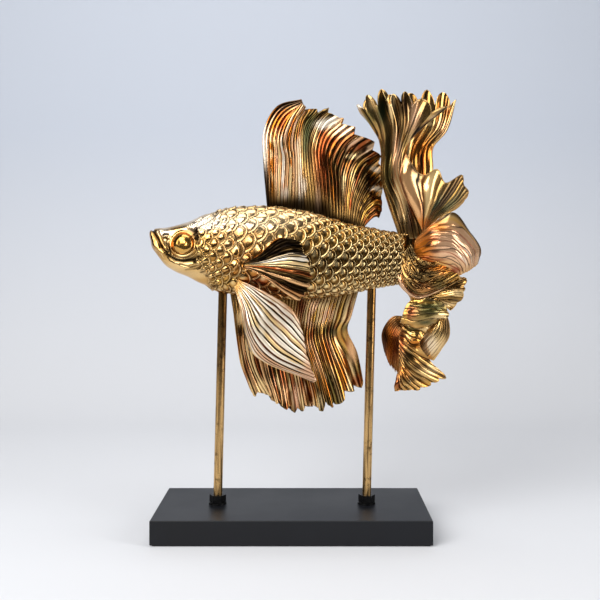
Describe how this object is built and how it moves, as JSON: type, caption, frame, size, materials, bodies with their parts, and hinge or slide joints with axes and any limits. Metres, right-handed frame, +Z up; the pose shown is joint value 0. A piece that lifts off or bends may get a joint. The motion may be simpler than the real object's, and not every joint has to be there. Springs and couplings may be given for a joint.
{
  "type": "fish ornament",
  "caption": "Gilded fish figurine with long ruffled fins, held above a flat black plinth by slim brass rods.",
  "frame": {"origin": "centre of the plinth's underside, on the felt's lower face", "axes": "+Z up, +X from the fish's head towards its tail, +Y away from the viewer of its left side"},
  "size_m": [0.3002, 0.102, 0.3961],
  "materials": {
    "gilded_resin": "cast resin, gold plated, with copper, green and cream tints and dark grooves",
    "brass_rod": "brushed, with handling marks",
    "insert_brass": "plain turned",
    "black_hardware": "black oxide",
    "plinth_lacquer": "satin black lacquer on board",
    "felt": "black needle felt"
  },
  "bodies": {
    "root": {"plinth": "plinth_lacquer", "base_felt": "felt", "front_rod": "brass_rod", "rear_rod": "brass_rod", "front_top_nut": "black_hardware", "rear_top_nut": "black_hardware", "front_under_nut": "black_hardware", "rear_under_nut": "black_hardware", "front_top_washer": "black_hardware", "rear_top_washer": "black_hardware", "front_under_washer": "black_hardware", "rear_under_washer": "black_hardware", "front_insert": "insert_brass", "rear_insert": "insert_brass", "fish_body": "gilded_resin", "dorsal_fin": "gilded_resin", "anal_fin": "gilded_resin", "left_pectoral_fin": "gilded_resin", "right_pectoral_fin": "gilded_resin", "left_pelvic_fin": "gilded_resin", "right_pelvic_fin": "gilded_resin", "tail_stem": "gilded_resin", "tail_plume": "gilded_resin", "tail_petal": "gilded_resin", "tail_shell": "gilded_resin", "tail_frill": "gilded_resin", "tail_sash": "gilded_resin", "tail_train": "gilded_resin", "tail_leaf": "gilded_resin", "tail_veil": "gilded_resin"}
  },
  "joints": []
}
